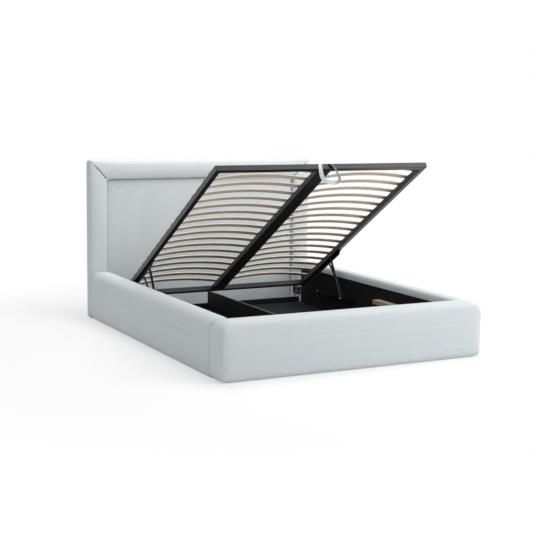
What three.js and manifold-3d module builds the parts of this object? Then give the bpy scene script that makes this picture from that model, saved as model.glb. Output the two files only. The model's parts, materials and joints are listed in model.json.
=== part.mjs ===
// An upholstered storage bed with a raised slatted lift-up frame on folding links.
// Millimetres, +Z up, +Y toward the headboard, origin on the floor at the middle of the footprint.

import * as THREE from 'three';
import { mergeVertices } from 'three/addons/utils/BufferGeometryUtils.js';
import Module from 'manifold-3d';

const wasm = await Module();
wasm.setup();

// The whole bed
const bedWidth = 1760;
const bedLength = 2225;
const seam = 0.3; // gap between pieces that touch
const overrun = 20; // how far a cutting solid passes the piece it cuts

// Headboard
const headboardHeight = 1104;
const headboardThickness = 87;
const headboardInset = 8; // how far each of its ends stands in from the rail's face
const headboardCornerRadius = 38;
const sideBorderWidth = 132;
const topBorderHeight = 138;
const borderCrown = 6;
const borderOuterRound = 18;
const borderInnerRound = 14;
const borderBackRound = 12;
const panelRecess = 30;
const panelBackInset = 12;
const panelCrown = 6;

// Rails and footboard
const railHeight = 340;
const railThickness = 125;
const railCrown = 6;
const railOuterRound = 62;
const railInnerRound = 20;
const railFootRound = 10;
const railHeadCornerRadius = 80;
const footboardThickness = 156;
const footboardTopCornerRadius = 85;
const footboardBottomCornerRadius = 45;
const footboardTopRound = 56;
const footboardPlanRound = 34;

// Storage space
const fabricWrap = 51;
const liningThickness = 3;
const liningEndFromHeadboard = 98;
const floorTop = 22;
const floorThickness = 18;
const dividerThickness = 12;
const dividerTop = 152;
const ledgeThickness = 15;
const ledgeTop = 60;
const ledgeFromHeadboard = 53;
const battenWidth = 50;
const battenHeight = 27;
const battenTop = 211;
const battenEndFromHeadboard = 1172;
const battenEndRound = 4;

// Corner brackets between rails and headboard
const cornerBracketSheet = 4;
const cornerBracketLength = 88;
const cornerBracketLip = 15;
const cornerBracketLow = 78;
const cornerBracketTop = 137;

// Raised steel frame
const raisedTilt = THREE.MathUtils.degToRad(32.34);
const frameSideGap = 35; // between a side tube and the rail's inner face
const frameEndGaps = 189; // both gaps together, at the level frame's head and foot ends
const frameHeadFromHeadboard = 210;
const frameHeadHeight = 169;
const tubeWidth = 34;
const tubeHeight = 34;
const tubeWall = 2;
const tubeRound = 4;
const centreRailWidth = 90;

// Slats, two bowed slats to a row
const slatRows = 18;
const firstSlatFromHeadEnd = 93;
const lastSlatFromFootEnd = 110;
const slatWidth = 36;
const slatThickness = 7;
const slatCrown = 30;
const slatLift = 6; // from the holders' seat up to the slats' ends
const slatHolderHeight = 14;
const slatHolderLength = 20;
const slatHolderInset = 12; // from the frame's outer face in to the end holders
const centreHolderWidth = 56;

// Lift mechanism, distances from the headboard face, the floor and the frame's head end
const rearPivotFromHeadboard = 435.3;
const frontPivotFromHeadboard = 789.1;
const lowerPivotHeight = 160;
const rearLinkTopAlong = 250;
const rearLinkTopDrop = 20;
const frontArmTopAlong = 426;
const frontArmTopDrop = 22;
const strutTopAlong = 500;
const strutTopDrop = 22;
const linkSheet = 5;
const linkHalfWidth = 8;
const frontArmBow = 11;
const linkInset = 14; // from the frame's outer face in to the links' inner faces
const pinRadius = 4;
const pinClearance = 0.4;
const pinHeadRadius = 7;
const pinHeadHeight = 3;

// Upper bracket under the side tube
const bracketSheet = 3;
const bracketPlateInset = 16; // from the frame's outer face in to the plate's outer face
const bracketFlangeInset = 1;
const bracketHeadEnd = 230;
const bracketFootEnd = 612;
const bracketDepth = 29;
const bracketToeDepth = 12;
const bracketToeLength = 15;
const bracketCornerRound = 8;
const rivetHeight = 1.5;
const rivetRadius = 6;

// Lower bracket on the lining
const lowerBracketSheet = 4;
const lowerBracketHeadEnd = 413;
const lowerBracketFootEnd = 865;
const lowerFlangeInset = 5; // from the frame's outer face in to the flange's inner face
const lowerFlangeHeight = 16;
const lowerFlangeBase = 150;

// Gas struts
const strutInset = 34; // from the frame's outer face in to the strut's middle
const strutEyeRadius = 8;
const strutEyeThickness = 8;
const strutCylinderRadius = 8;
const strutCylinderLength = 145;
const strutBoreDepth = 112;
const strutRodRadius = 4;
const strutRodClearance = 0.5;
const strutRodInside = 34;

// Pull strap on the foot tube
const strapThickness = 3;
const strapWidth = 22;
const strapEdgeWidth = 6;
const strapDrop = 60;
const strapLeft = -55;
const strapRightLeg = 38;
const strapSpread = 150;
const strapOverTube = 20;
const strapPointShares = [
  [0.08, 0.12],
  [0.12, -0.25],
  [0.24, -0.65],
  [0.41, -0.79],
  [0.62, -0.91],
  [0.82, -0.96],
  [0.96, -0.86],
  [1, -0.68],
  [0.93, -0.48],
  [0.84, -0.22],
  [0.64, 0.11],
];
const strapWidthShares = [1, 0.95, 0.95, 0.85, 0.65, 0.6, 0.6, 0.5, 0.4, 0.3, 0.27];

// Smoothness
const arcSteps = 8;
const tubeCornerSteps = 3;
const circleSteps = 20;
const strapSteps = 28;

// Places worked out from the sizes
const footFace = -bedLength / 2;
const footInner = footFace + footboardThickness;
const headboardBack = bedLength / 2;
const headboardFace = headboardBack - headboardThickness;
const railInner = bedWidth / 2 - railThickness;
const liningInner = railInner - seam - liningThickness;
const headboardWidth = bedWidth - 2 * headboardInset;
const panelHalfWidth = headboardWidth / 2 - sideBorderWidth;
const frameWidth = 2 * (railInner - frameSideGap);
const frameLength = headboardFace - footInner - frameEndGaps;
const slatPitch = (frameLength - firstSlatFromHeadEnd - lastSlatFromFootEnd) / (slatRows - 1);
const sideTubeInner = frameWidth / 2 - tubeWidth;
const frameHeadY = headboardFace - frameHeadFromHeadboard;
const slatSeat = tubeHeight + seam;

// Planes of the lift mechanism, as distances from the bed's middle plane
const linkInnerFace = frameWidth / 2 - linkInset;
const bracketPlateFace = frameWidth / 2 - bracketPlateInset;
const lowerFlangeInnerFace = frameWidth / 2 - lowerFlangeInset;
const strutPlane = frameWidth / 2 - strutInset;

const rearPivot = new THREE.Vector2(headboardFace - rearPivotFromHeadboard, lowerPivotHeight);
const frontPivot = new THREE.Vector2(headboardFace - frontPivotFromHeadboard, lowerPivotHeight);
const rearLinkTop = onRaisedFrame(rearLinkTopAlong, -rearLinkTopDrop);
const frontArmTop = onRaisedFrame(frontArmTopAlong, -frontArmTopDrop);
const strutTop = onRaisedFrame(strutTopAlong, -strutTopDrop);

const fabric = { color: 0xc3c9cb, roughness: 0.95, metalness: 0 };
const lining = { color: 0x17181a, roughness: 0.9, metalness: 0 };
const board = { color: 0x1b1c1e, roughness: 0.8, metalness: 0 };
const steel = { color: 0x2b2c2e, roughness: 0.45, metalness: 0.6 };
const rodSteel = { color: 0x9a9c9e, roughness: 0.25, metalness: 1 };
const birch = { color: 0xb9a88f, roughness: 0.6, metalness: 0 };
const batten = { color: 0x9c8a72, roughness: 0.7, metalness: 0 };
const webbing = { color: 0xd3dadd, roughness: 0.9, metalness: 0 };

// A point of the raised frame, as Y and Z, from its distance along the frame and above its underside.
function onRaisedFrame(along, above) {
  const y = frameHeadY - along * Math.cos(raisedTilt) + above * Math.sin(raisedTilt);
  const z = frameHeadHeight + along * Math.sin(raisedTilt) + above * Math.cos(raisedTilt);
  return new THREE.Vector2(y, z);
}

// Bare positions with shared vertices, as joins, cuts and mirrors need.
function welded(geometry) {
  const bare = geometry.clone();
  bare.deleteAttribute('normal');
  bare.deleteAttribute('uv');
  return mergeVertices(bare);
}

function toSolid(geometry) {
  const bare = welded(geometry);
  const vertProperties = Float32Array.from(bare.attributes.position.array);
  const triVerts = Uint32Array.from(bare.index.array);
  return new wasm.Manifold(new wasm.Mesh({ numProp: 3, vertProperties, triVerts }));
}

function toGeometry(solid) {
  const mesh = solid.getMesh();
  const geometry = new THREE.BufferGeometry();
  geometry.setAttribute('position', new THREE.BufferAttribute(mesh.vertProperties, 3));
  geometry.setIndex(new THREE.BufferAttribute(mesh.triVerts, 1));
  return geometry;
}

function join(...geometries) {
  return toGeometry(geometries.map(toSolid).reduce((whole, next) => whole.add(next)));
}

function cut(geometry, ...tools) {
  return toGeometry(tools.map(toSolid).reduce((whole, next) => whole.subtract(next), toSolid(geometry)));
}

function within(geometry, ...bounds) {
  return toGeometry(bounds.map(toSolid).reduce((whole, next) => whole.intersect(next), toSolid(geometry)));
}

// The same piece for the bed's other side.
function mirrored(geometry) {
  const other = welded(geometry).scale(-1, 1, 1);
  const index = other.index.array;
  for (let corner = 0; corner < index.length; corner += 3) {
    const first = index[corner];
    index[corner] = index[corner + 1];
    index[corner + 1] = first;
  }
  return other;
}

// An outline with rounded corners. Each corner is [across, up, round, bulge]; the bulge bows the edge after it.
function outline(corners) {
  const points = corners.map(([across, up]) => new THREE.Vector2(across, up));
  const count = points.length;
  const toward = (from, to, reach) => {
    const step = new THREE.Vector2().subVectors(points[to], points[from]);
    return points[from].clone().addScaledVector(step.normalize(), reach);
  };
  const shape = new THREE.Shape();
  corners.forEach(([, , round = 0], i) => {
    const enter = toward(i, (i + count - 1) % count, round);
    const leave = toward(i, (i + 1) % count, round);
    const before = corners[(i + count - 1) % count];
    if (i === 0) shape.moveTo(enter.x, enter.y);
    else if (before[3]) bow(shape, enter, before[3]);
    else shape.lineTo(enter.x, enter.y);
    if (round > 0) shape.quadraticCurveTo(points[i].x, points[i].y, leave.x, leave.y);
  });
  const last = corners[count - 1];
  const start = toward(0, count - 1, corners[0][2] ?? 0);
  if (last[3]) bow(shape, start, last[3]);
  return shape;
}

// Draws an edge that swells outward by the bulge at its middle.
function bow(shape, end, bulge) {
  const start = shape.currentPoint.clone();
  const step = new THREE.Vector2().subVectors(end, start);
  const outward = new THREE.Vector2(step.y, -step.x).normalize();
  const control = start.add(end).multiplyScalar(0.5).addScaledVector(outward, 2 * bulge);
  shape.quadraticCurveTo(control.x, control.y, end.x, end.y);
}

function rectangle(left, low, right, top, round = 0) {
  return outline([[left, low, round], [right, low, round], [right, top, round], [left, top, round]]);
}

function circle(across, up, radius) {
  const path = new THREE.Shape();
  path.absarc(across, up, radius, 0, 2 * Math.PI, false);
  return path;
}

function extruded(shape, depth, steps = arcSteps) {
  return new THREE.ExtrudeGeometry(shape, { depth, bevelEnabled: false, curveSegments: steps });
}

// An outline in X and Z, carried from one Y to a larger one.
function alongY(shape, from, to, steps) {
  const turn = new THREE.Matrix4().makeRotationX(Math.PI / 2);
  return extruded(shape, to - from, steps).applyMatrix4(turn).translate(0, to, 0);
}

// An outline in Y and Z, carried from one X to a larger one.
function alongX(shape, from, to, steps) {
  const turn = new THREE.Matrix4().makeBasis(
    new THREE.Vector3(0, 1, 0),
    new THREE.Vector3(0, 0, 1),
    new THREE.Vector3(1, 0, 0),
  );
  return extruded(shape, to - from, steps).applyMatrix4(turn).translate(from, 0, 0);
}

// An outline in X and Y, carried from one Z to a larger one.
function alongZ(shape, from, to, steps) {
  return extruded(shape, to - from, steps).translate(0, 0, from);
}

function block(left, right, front, back, low, top) {
  return alongZ(rectangle(left, front, right, back), low, top);
}

// A round pin or boss across the bed, centred on a point given as Y and Z.
function crossPin(point, radius, from, to) {
  return alongX(circle(point.x, point.y, radius), from, to, circleSteps);
}

// Headboard

// A border's section in X and Y: crowned face to the front, rounder on its outer edge.
function sideBorderSection() {
  const outer = -headboardWidth / 2;
  const inner = outer + sideBorderWidth;
  const face = headboardFace + borderCrown;
  return outline([
    [outer, face, borderOuterRound, borderCrown],
    [inner, face, borderInnerRound],
    [inner, headboardBack],
    [outer, headboardBack, borderBackRound],
  ]);
}

function topBorderSection() {
  const face = headboardFace + borderCrown;
  const low = headboardHeight - topBorderHeight;
  return outline([
    [face, low, borderInnerRound],
    [headboardBack, low],
    [headboardBack, headboardHeight, borderBackRound],
    [face, headboardHeight, borderOuterRound, borderCrown],
  ]);
}

function throughHeadboard(shape) {
  return alongY(shape, headboardFace - overrun, headboardBack + overrun);
}

function headboardOutline() {
  const half = headboardWidth / 2;
  return throughHeadboard(outline([
    [-half, 0],
    [half, 0],
    [half, headboardHeight, headboardCornerRadius],
    [-half, headboardHeight, headboardCornerRadius],
  ]));
}

function leftBorder() {
  const outer = -headboardWidth / 2;
  const inner = outer + sideBorderWidth;
  const mitreGap = seam * Math.hypot(sideBorderWidth, topBorderHeight) / sideBorderWidth;
  const mitre = throughHeadboard(outline([
    [outer, 0],
    [inner, 0],
    [inner, headboardHeight - topBorderHeight - mitreGap],
    [outer, headboardHeight - mitreGap],
  ]));
  const bar = alongZ(sideBorderSection(), 0, headboardHeight);
  return within(bar, mitre, headboardOutline());
}

function topBorder() {
  const half = headboardWidth / 2;
  const low = headboardHeight - topBorderHeight;
  const mitre = throughHeadboard(outline([
    [-panelHalfWidth, low],
    [panelHalfWidth, low],
    [half, headboardHeight],
    [-half, headboardHeight],
  ]));
  const bar = alongX(topBorderSection(), -half, half);
  return within(bar, mitre, headboardOutline());
}

function headboardPanel() {
  const face = headboardFace + panelRecess + panelCrown;
  const half = panelHalfWidth - seam;
  const top = headboardHeight - topBorderHeight - seam;
  const section = outline([
    [-half, face, 0, panelCrown],
    [half, face],
    [half, headboardBack - panelBackInset],
    [-half, headboardBack - panelBackInset],
  ]);
  return alongZ(section, 0, top);
}

// Rails, footboard and what lines the storage space

function rightRail() {
  const face = bedWidth / 2 - railCrown;
  const from = footInner + seam;
  const to = headboardFace - seam;
  const section = outline([
    [railInner, 0],
    [face, 0, railFootRound, railCrown],
    [face, railHeight, railOuterRound],
    [railInner, railHeight, railInnerRound],
  ]);
  const side = outline([
    [from - overrun, 0],
    [to, 0, railFootRound],
    [to, railHeight, railHeadCornerRadius],
    [from - overrun, railHeight],
  ]);
  return within(alongY(section, from, to), alongX(side, railInner - overrun, bedWidth / 2 + overrun));
}

function footboard() {
  const face = footFace + railCrown;
  const half = bedWidth / 2;
  const section = outline([
    [face, 0, railFootRound],
    [footInner, 0],
    [footInner, railHeight, railInnerRound],
    [face, railHeight, footboardTopRound, railCrown],
  ]);
  const front = outline([
    [-half, 0, footboardBottomCornerRadius],
    [half, 0, footboardBottomCornerRadius],
    [half, railHeight, footboardTopCornerRadius],
    [-half, railHeight, footboardTopCornerRadius],
  ]);
  const plan = outline([
    [-half, footFace, footboardPlanRound],
    [half, footFace, footboardPlanRound],
    [half, footInner],
    [-half, footInner],
  ]);
  const throughFootboard = alongY(front, footFace - overrun, footInner + overrun);
  return within(alongX(section, -half, half), throughFootboard, alongZ(plan, -overrun, railHeight + overrun));
}

function rightLining() {
  const top = railHeight - fabricWrap;
  const from = footInner + liningThickness + 2 * seam;
  const to = headboardFace - liningEndFromHeadboard;
  return block(liningInner, railInner - seam, from, to, floorTop + seam, top);
}

function footLining() {
  const half = railInner - seam;
  const from = footInner + seam;
  return block(-half, half, from, from + liningThickness, floorTop + seam, railHeight - fabricWrap);
}

function rightFloorBoard() {
  const low = floorTop - floorThickness;
  return block(seam, railInner - seam, footInner + seam, headboardFace - seam, low, floorTop);
}

function centreDivider() {
  const from = footInner + liningThickness + 2 * seam;
  const to = headboardFace - ledgeFromHeadboard - ledgeThickness - seam;
  return block(-dividerThickness / 2, dividerThickness / 2, from, to, floorTop + seam, dividerTop);
}

function rearLedgeBoard() {
  const back = headboardFace - ledgeFromHeadboard;
  const half = railInner - seam;
  return block(-half, half, back - ledgeThickness, back, floorTop + seam, ledgeTop);
}

function rightBatten() {
  const from = footInner + liningThickness + 2 * seam;
  const to = headboardFace - battenEndFromHeadboard;
  const low = battenTop - battenHeight;
  const side = outline([
    [from, low],
    [to, low, battenEndRound],
    [to, battenTop, battenEndRound],
    [from, battenTop],
  ]);
  const outer = liningInner - seam;
  return alongX(side, outer - battenWidth, outer);
}

function rightCornerBracket() {
  const outer = railInner - seam;
  const back = headboardFace - seam;
  const plan = outline([
    [outer - cornerBracketSheet, back - cornerBracketLength],
    [outer, back - cornerBracketLength],
    [outer, back],
    [outer - cornerBracketLip, back],
    [outer - cornerBracketLip, back - cornerBracketSheet],
    [outer - cornerBracketSheet, back - cornerBracketSheet],
  ]);
  return alongZ(plan, cornerBracketLow, cornerBracketTop);
}

// Raised frame, drawn level: X across, Y from the head end at 0 to the foot at -frameLength

function tubeSection(left, right) {
  const section = rectangle(left, 0, right, tubeHeight, tubeRound);
  const bore = rectangle(left + tubeWall, tubeWall, right - tubeWall, tubeHeight - tubeWall, tubeRound / 2);
  section.holes.push(bore);
  return section;
}

function rightSideTube() {
  const half = frameWidth / 2;
  const mitreGap = seam * Math.SQRT2;
  const mitre = alongZ(outline([
    [sideTubeInner, -frameLength + tubeWidth + mitreGap],
    [half, -frameLength + mitreGap],
    [half, -mitreGap],
    [sideTubeInner, -tubeWidth - mitreGap],
  ]), -overrun, tubeHeight + overrun);
  return within(alongY(tubeSection(sideTubeInner, half), -frameLength, 0, tubeCornerSteps), mitre);
}

// A tube across the frame with its outer long face at the head end's plane.
function headTube() {
  const half = frameWidth / 2;
  const mitre = alongZ(outline([
    [-sideTubeInner, -tubeWidth],
    [sideTubeInner, -tubeWidth],
    [half, 0],
    [-half, 0],
  ]), -overrun, tubeHeight + overrun);
  return within(alongX(tubeSection(-tubeWidth, 0), -half, half, tubeCornerSteps), mitre);
}

function footTube() {
  return headTube().rotateZ(Math.PI).translate(0, -frameLength, 0);
}

function centreRail() {
  const half = centreRailWidth / 2;
  const from = -frameLength + tubeWidth + seam;
  return alongY(tubeSection(-half, half), from, -tubeWidth - seam, tubeCornerSteps);
}

// One row: a bowed slat on each side, held at the side tubes and by a double holder over the centre rail.
function slatRowOutline() {
  const end = frameWidth / 2 - slatHolderInset;
  const outer = end - slatHolderLength;
  const inner = centreHolderWidth / 2;
  const middle = (outer + inner) / 2;
  const low = slatSeat + slatLift;
  const top = low + slatThickness;
  const holderTop = slatSeat + slatHolderHeight;
  const shape = new THREE.Shape();
  shape.moveTo(-end, slatSeat);
  shape.lineTo(-outer, slatSeat);
  shape.lineTo(-outer, low);
  shape.quadraticCurveTo(-middle, low + 2 * slatCrown, -inner, low);
  shape.lineTo(-inner, slatSeat);
  shape.lineTo(inner, slatSeat);
  shape.lineTo(inner, low);
  shape.quadraticCurveTo(middle, low + 2 * slatCrown, outer, low);
  shape.lineTo(outer, slatSeat);
  shape.lineTo(end, slatSeat);
  shape.lineTo(end, holderTop);
  shape.lineTo(outer, holderTop);
  shape.lineTo(outer, top);
  shape.quadraticCurveTo(middle, top + 2 * slatCrown, inner, top);
  shape.lineTo(inner, holderTop);
  shape.lineTo(-inner, holderTop);
  shape.lineTo(-inner, top);
  shape.quadraticCurveTo(-middle, top + 2 * slatCrown, -outer, top);
  shape.lineTo(-outer, holderTop);
  shape.lineTo(-end, holderTop);
  return shape;
}

function slatRow() {
  return alongY(slatRowOutline(), -slatWidth / 2, slatWidth / 2);
}

// Hangs under the side tube: a flange against the tube, a deep plate, the rear link's pin and the arm's rivet.
function rightUpperBracket() {
  const top = -seam;
  const plate = alongX(outline([
    [-bracketHeadEnd, top],
    [-bracketFootEnd, top],
    [-bracketFootEnd, -bracketToeDepth],
    [-bracketFootEnd + bracketToeLength, -bracketDepth],
    [-bracketHeadEnd, -bracketDepth, bracketCornerRound],
  ]), bracketPlateFace - bracketSheet, bracketPlateFace);
  const flangeInner = sideTubeInner + bracketFlangeInset;
  const flangeOuter = frameWidth / 2 - bracketFlangeInset;
  const flange = block(flangeInner, flangeOuter, -bracketFootEnd, -bracketHeadEnd, top - bracketSheet, top);
  const rearPin = new THREE.Vector2(-rearLinkTopAlong, -rearLinkTopDrop);
  const headFace = linkInnerFace + linkSheet + seam;
  const pin = crossPin(rearPin, pinRadius, bracketPlateFace - bracketSheet / 2, headFace + pinHeadHeight / 2);
  const pinHead = crossPin(rearPin, pinHeadRadius, headFace, headFace + pinHeadHeight);
  const armTop = new THREE.Vector2(-frontArmTopAlong, -frontArmTopDrop);
  const plateInner = bracketPlateFace - bracketSheet;
  const rivet = crossPin(armTop, rivetRadius, plateInner - rivetHeight, bracketPlateFace - bracketSheet / 2);
  return join(plate, flange, pin, pinHead, rivet);
}

// Lift links, drawn from their lower pivot along +Y

// A flat bar with round ends and a hole at its lower end, bowed to one side.
function linkOutline(length, bowed) {
  const half = linkHalfWidth;
  const shape = new THREE.Shape();
  shape.moveTo(0, -half);
  shape.quadraticCurveTo(length / 2, 2 * bowed - half, length, -half);
  shape.absarc(length, 0, half, -Math.PI / 2, Math.PI / 2, false);
  shape.quadraticCurveTo(length / 2, 2 * bowed + half, 0, half);
  shape.absarc(0, 0, half, Math.PI / 2, 1.5 * Math.PI, false);
  shape.holes.push(circle(0, 0, pinRadius + pinClearance));
  return shape;
}

function rightRearLink() {
  const length = rearPivot.distanceTo(rearLinkTop);
  const shape = linkOutline(length, 0);
  shape.holes.push(circle(length, 0, pinRadius + pinClearance));
  return alongX(shape, linkInnerFace, linkInnerFace + linkSheet);
}

// The arm carries its upper bolt's head. That bolt ends at the arm, so it never bites the upper bracket.
function rightFrontArm() {
  const length = frontPivot.distanceTo(frontArmTop);
  const arm = alongX(linkOutline(length, frontArmBow), linkInnerFace, linkInnerFace + linkSheet);
  const bolt = new THREE.Vector2(length, 0);
  const outer = linkInnerFace + linkSheet;
  return join(arm, crossPin(bolt, rivetRadius, outer - linkSheet / 2, outer + pinHeadHeight - seam));
}

function strutEye(at) {
  const half = strutEyeThickness / 2;
  return crossPin(new THREE.Vector2(at, 0), strutEyeRadius, strutPlane - half, strutPlane + half);
}

function rightStrutRod() {
  const length = frontPivot.distanceTo(strutTop) - strutCylinderLength + strutRodInside;
  const rod = new THREE.CylinderGeometry(strutRodRadius, strutRodRadius, length, circleSteps);
  rod.translate(strutPlane, length / 2, 0);
  const pivot = new THREE.Vector2(0, 0);
  const hole = crossPin(pivot, pinRadius + pinClearance, strutPlane - overrun, strutPlane + overrun);
  return cut(join(rod, strutEye(0)), hole);
}

// A tube open at its lower end, a flat eye on top and the pin that reaches toward the upper bracket.
function rightStrutCylinder() {
  const top = frontPivot.distanceTo(strutTop);
  const low = top - strutCylinderLength;
  const bore = strutRodRadius + strutRodClearance;
  const profile = [
    new THREE.Vector2(0, low + strutBoreDepth),
    new THREE.Vector2(bore, low + strutBoreDepth),
    new THREE.Vector2(bore, low),
    new THREE.Vector2(strutCylinderRadius, low),
    new THREE.Vector2(strutCylinderRadius, top - strutEyeRadius),
    new THREE.Vector2(0, top - strutEyeRadius / 2),
  ];
  const barrel = new THREE.LatheGeometry(profile, circleSteps).translate(strutPlane, 0, 0);
  const pinEnd = bracketPlateFace - bracketSheet - rivetHeight - seam;
  const pin = crossPin(new THREE.Vector2(top, 0), pinRadius, strutPlane, pinEnd);
  return join(barrel, strutEye(top), pin);
}

// A channel along the lining, open on top, with the pins of both links and of the strut.
function rightLowerBracket() {
  const outer = liningInner - seam;
  const sheet = lowerBracketSheet;
  const flange = lowerFlangeInnerFace;
  const base = lowerFlangeBase;
  const top = base + lowerFlangeHeight;
  const section = outline([
    [flange, base],
    [outer, base],
    [outer, top],
    [outer - sheet, top],
    [outer - sheet, base + sheet],
    [flange + sheet, base + sheet],
    [flange + sheet, top],
    [flange, top],
  ]);
  const channel = alongY(section, headboardFace - lowerBracketFootEnd, headboardFace - lowerBracketHeadEnd);
  const intoFlange = flange + sheet / 2;
  const rearHead = linkInnerFace - seam;
  const rearPin = crossPin(rearPivot, pinRadius, rearHead - pinHeadHeight / 2, intoFlange);
  const rearPinHead = crossPin(rearPivot, pinHeadRadius, rearHead - pinHeadHeight, rearHead);
  const eyeInner = strutPlane - strutEyeThickness / 2 - seam;
  const eyeOuter = strutPlane + strutEyeThickness / 2 + seam;
  const frontPin = crossPin(frontPivot, pinRadius, eyeInner - pinHeadHeight / 2, intoFlange);
  const frontPinHead = crossPin(frontPivot, pinHeadRadius, eyeInner - pinHeadHeight, eyeInner);
  const spacer = crossPin(frontPivot, pinHeadRadius, eyeOuter, linkInnerFace - seam);
  return join(channel, rearPin, rearPinHead, frontPin, frontPinHead, spacer);
}

// Pull strap: two legs over the foot tube and the loop that hangs from them.

// A leg's section in Y and Z beside the level foot tube: over its top and down its end face.
function strapLegSection() {
  const near = -frameLength - seam;
  const top = tubeHeight + seam;
  return outline([
    [near - strapThickness, 0],
    [near, 0],
    [near, top],
    [near + strapOverTube, top],
    [near + strapOverTube, top + strapThickness],
    [near - strapThickness, top + strapThickness],
  ]);
}

// The hanging loop's outline in X and Z, from its middle line and its width along it.
function strapLoopOutline() {
  const place = ([across, up]) => new THREE.Vector3(strapLeft + across * strapSpread, up * strapDrop, 0);
  const line = new THREE.CatmullRomCurve3(strapPointShares.map(place));
  const edges = [[], []];
  for (let step = 0; step <= strapSteps; step += 1) {
    const part = step / strapSteps;
    const along = part * (strapWidthShares.length - 1);
    const before = Math.min(Math.floor(along), strapWidthShares.length - 2);
    const share = THREE.MathUtils.lerp(strapWidthShares[before], strapWidthShares[before + 1], along - before);
    const point = line.getPoint(part);
    const heading = line.getTangent(part);
    const reach = share * strapWidth / 2;
    edges[0].push(new THREE.Vector2(point.x + heading.y * reach, point.y - heading.x * reach));
    edges[1].unshift(new THREE.Vector2(point.x - heading.y * reach, point.y + heading.x * reach));
  }
  return new THREE.Shape([...edges[0], ...edges[1]]);
}

function pullStrap() {
  const leftLeg = alongX(strapLegSection(), strapLeft, strapLeft + strapWidth);
  const rightLeg = alongX(strapLegSection(), strapRightLeg, strapRightLeg + strapEdgeWidth);
  const loop = alongY(strapLoopOutline(), -strapThickness, 0);
  const hung = loop.rotateX(raisedTilt).translate(0, -frameLength - seam, 0);
  return join(leftLeg, rightLeg, hung);
}

// Puts a geometry into the model as a named piece with its own material.
function piece(group, name, geometry, finish) {
  const mesh = new THREE.Mesh(geometry, new THREE.MeshStandardMaterial(finish));
  mesh.name = name;
  group.add(mesh);
  return mesh;
}

// A pair of mirrored pieces. The place sets both in the same way.
function pair(group, name, geometry, finish, place = () => {}) {
  place(piece(group, `left_${name}`, mirrored(geometry), finish));
  place(piece(group, `right_${name}`, geometry, finish));
}

// Stands a link on its lower pivot, turned to point at its upper one.
function hingedAt(lower, upper) {
  return (mesh) => {
    mesh.position.set(0, lower.x, lower.y);
    mesh.rotation.x = Math.atan2(upper.y - lower.y, upper.x - lower.x);
  };
}

function addHeadboard(bed) {
  piece(bed, 'headboard_left_border', leftBorder(), fabric);
  piece(bed, 'headboard_top_border', topBorder(), fabric);
  piece(bed, 'headboard_right_border', mirrored(leftBorder()), fabric);
  piece(bed, 'headboard_panel', headboardPanel(), fabric);
}

function addBase(bed) {
  pair(bed, 'side_rail', rightRail(), fabric);
  piece(bed, 'footboard', footboard(), fabric);
  pair(bed, 'lining', rightLining(), lining);
  piece(bed, 'foot_lining', footLining(), lining);
  pair(bed, 'floor_board', rightFloorBoard(), board);
  piece(bed, 'centre_divider', centreDivider(), board);
  piece(bed, 'rear_ledge_board', rearLedgeBoard(), board);
  pair(bed, 'batten', rightBatten(), batten);
  pair(bed, 'corner_bracket', rightCornerBracket(), steel);
  pair(bed, 'lower_bracket', rightLowerBracket(), steel);
}

function addLinks(bed) {
  pair(bed, 'rear_link', rightRearLink(), steel, hingedAt(rearPivot, rearLinkTop));
  pair(bed, 'front_arm', rightFrontArm(), steel, hingedAt(frontPivot, frontArmTop));
  pair(bed, 'strut_rod', rightStrutRod(), rodSteel, hingedAt(frontPivot, strutTop));
  pair(bed, 'strut_cylinder', rightStrutCylinder(), steel, hingedAt(frontPivot, strutTop));
}

function addRaisedFrame(bed) {
  const frame = new THREE.Group();
  frame.position.set(0, frameHeadY, frameHeadHeight);
  frame.rotation.x = -raisedTilt;
  bed.add(frame);
  pair(frame, 'side_tube', rightSideTube(), steel);
  piece(frame, 'head_tube', headTube(), steel);
  piece(frame, 'foot_tube', footTube(), steel);
  piece(frame, 'centre_rail', centreRail(), steel);
  pair(frame, 'upper_bracket', rightUpperBracket(), steel);
  piece(frame, 'pull_strap', pullStrap(), webbing);
  for (let row = 0; row < slatRows; row += 1) {
    const name = `slat_row_${String(row + 1).padStart(2, '0')}`;
    const mesh = piece(frame, name, slatRow(), birch);
    mesh.position.y = -(firstSlatFromHeadEnd + row * slatPitch);
  }
}

const bed = new THREE.Group();
addHeadboard(bed);
addBase(bed);
addLinks(bed);
addRaisedFrame(bed);

export default bed;
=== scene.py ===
"""An upholstered storage bed with its slatted frame raised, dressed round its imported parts.

Every piece is in metres, in the bed's own frame: X across, Y toward the headboard, Z up, the
origin on the floor at the middle of the footprint. Padded covers, bowed slats with their holders,
the pull strap and the fasteners are modelled here. The steel, boards, linings and battens keep
their own shapes and get their finishes.
"""

import json
import math

import bmesh
import bpy
from bpy.props import FloatProperty, FloatVectorProperty, IntProperty, PointerProperty
from bpy.types import Operator, Panel, PropertyGroup
from mathutils import Matrix, Vector


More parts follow.
